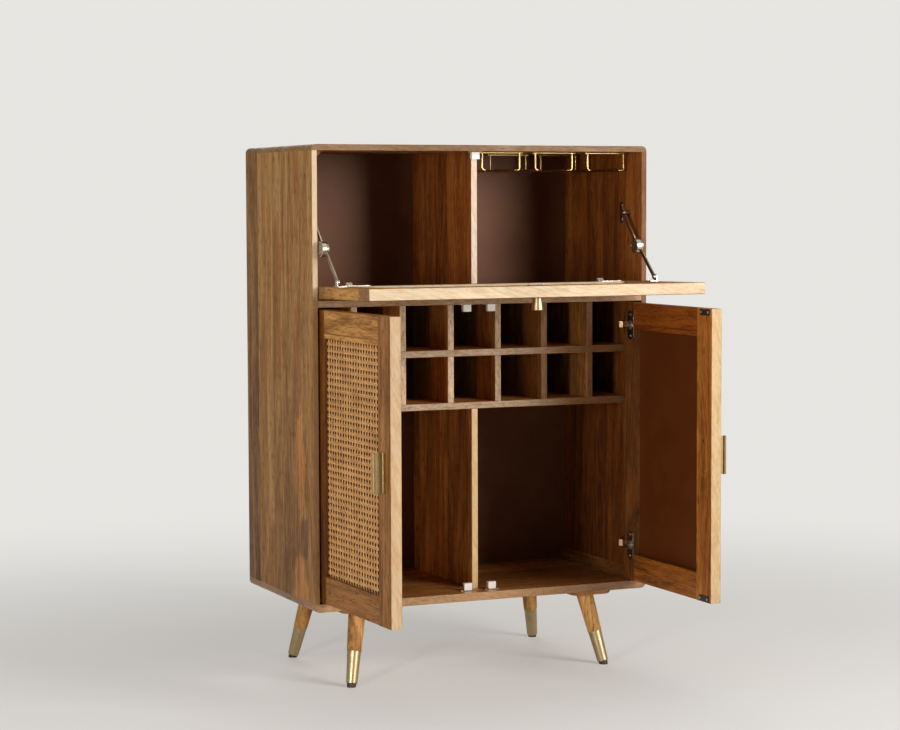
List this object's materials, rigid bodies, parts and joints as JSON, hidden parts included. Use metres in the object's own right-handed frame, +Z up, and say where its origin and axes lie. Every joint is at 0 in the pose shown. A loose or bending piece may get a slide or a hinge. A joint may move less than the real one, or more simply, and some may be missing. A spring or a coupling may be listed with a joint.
{
  "type": "wine cabinet",
  "caption": "Free-standing wooden bar cabinet on splayed brass-tipped legs, with a drop flap on folding stays, caned doors, a bottle rack and hanging channels for stemmed glasses.",
  "frame": {"origin": "on the floor under the middle of the carcass", "axes": "+X to the right as seen from the front, +Y to the back, +Z up"},
  "size_m": [0.8143, 0.7846, 1.169],
  "materials": {
    "mango_wood": "oiled satin",
    "back_board": "matt",
    "hardboard": "smooth satin",
    "cane": "natural rattan",
    "brass": "satin",
    "nickel": "nickel plated",
    "black_steel": "satin black",
    "white_plastic": "matt",
    "glide": "matt"
  },
  "bodies": {
    "cabinet": {"back_panel": "back_board", "bottom_panel": "mango_wood", "corner_strips": "mango_wood", "door_hinge_arms": "nickel", "flap_hinge_arms": "nickel", "left_side_panel": "mango_wood", "leg_blocks": "mango_wood", "leg_bolts": "nickel", "leg_ferrules": "brass", "leg_glides": "glide", "legs": "mango_wood", "lower_divider": "mango_wood", "magnet_catches": "white_plastic", "middle_shelf": "mango_wood", "rack_bottom_board": "mango_wood", "rack_divider_1": "mango_wood", "rack_divider_2": "mango_wood", "rack_divider_3": "mango_wood", "rack_divider_4": "mango_wood", "rack_divider_5": "mango_wood", "rack_divider_6": "mango_wood", "rack_row_board": "mango_wood", "right_side_panel": "mango_wood", "stay_wall_brackets": "nickel", "stemware_channels": "brass", "top_panel": "mango_wood", "upper_divider": "mango_wood"},
    "left_door": {"left_door_backing_panel": "hardboard", "left_door_bottom_rail": "mango_wood", "left_door_cane_panel": "cane", "left_door_free_stile": "mango_wood", "left_door_hinge_cups": "nickel", "left_door_hinge_stile": "mango_wood", "left_door_pull": "brass", "left_door_strike_plates": "black_steel", "left_door_top_rail": "mango_wood"},
    "right_door": {"right_door_backing_panel": "hardboard", "right_door_bottom_rail": "mango_wood", "right_door_cane_panel": "cane", "right_door_free_stile": "mango_wood", "right_door_hinge_cups": "nickel", "right_door_hinge_stile": "mango_wood", "right_door_pull": "brass", "right_door_strike_plates": "black_steel", "right_door_top_rail": "mango_wood"},
    "flap": {"flap_backing_panel": "hardboard", "flap_cane_panel": "cane", "flap_front_rail": "mango_wood", "flap_hinge_cups": "nickel", "flap_knob": "brass", "flap_left_stile": "mango_wood", "flap_rear_rail": "mango_wood", "flap_right_stile": "mango_wood", "flap_strike_plate": "black_steel", "stay_foot_brackets": "nickel"},
    "left_stay_lower_arm": {"left_stay_lower_arm": "nickel"},
    "left_stay_upper_arm": {"left_stay_upper_arm": "nickel"},
    "right_stay_lower_arm": {"right_stay_lower_arm": "nickel"},
    "right_stay_upper_arm": {"right_stay_upper_arm": "nickel"}
  },
  "joints": [
    {"name": "left_door_hinge", "type": "hinge", "parent": "cabinet", "child": "left_door", "pos_m": [-0.3715, -0.2015, 0.50673], "axis": [0, 0, -1], "range_deg": [-88.2, 16.8]},
    {"name": "right_door_hinge", "type": "hinge", "parent": "cabinet", "child": "right_door", "pos_m": [0.3715, -0.2015, 0.50673], "axis": [0, 0, 1], "range_deg": [-90.5, 14.5]},
    {"name": "flap_hinge", "type": "hinge", "parent": "cabinet", "child": "flap", "pos_m": [0, -0.2015, 0.85446], "axis": [1, 0, 0], "range_deg": [-89, 0]},
    {"name": "left_stay_wall_pivot", "type": "hinge", "parent": "cabinet", "child": "left_stay_upper_arm", "pos_m": [-0.3784, -0.1565, 1.02046], "axis": [1, 0, 0], "range_deg": [0, 94.5]},
    {"name": "left_stay_foot_pivot", "type": "hinge", "parent": "flap", "child": "left_stay_lower_arm", "pos_m": [-0.3751, -0.29707, 0.87963], "axis": [1, 0, 0], "range_deg": [0, 51.25]},
    {"name": "right_stay_wall_pivot", "type": "hinge", "parent": "cabinet", "child": "right_stay_upper_arm", "pos_m": [0.3707, -0.1565, 1.02046], "axis": [1, 0, 0], "range_deg": [0, 94.5]},
    {"name": "right_stay_foot_pivot", "type": "hinge", "parent": "flap", "child": "right_stay_lower_arm", "pos_m": [0.374, -0.29707, 0.87963], "axis": [1, 0, 0], "range_deg": [0, 51.25]}
  ],
  "couplings": [
    {"joint": "left_stay_wall_pivot", "follows": "flap_hinge", "ratio": -1.0562},
    {"joint": "left_stay_foot_pivot", "follows": "flap_hinge", "ratio": -0.57024},
    {"joint": "right_stay_wall_pivot", "follows": "flap_hinge", "ratio": -1.0562},
    {"joint": "right_stay_foot_pivot", "follows": "flap_hinge", "ratio": -0.57024}
  ]
}
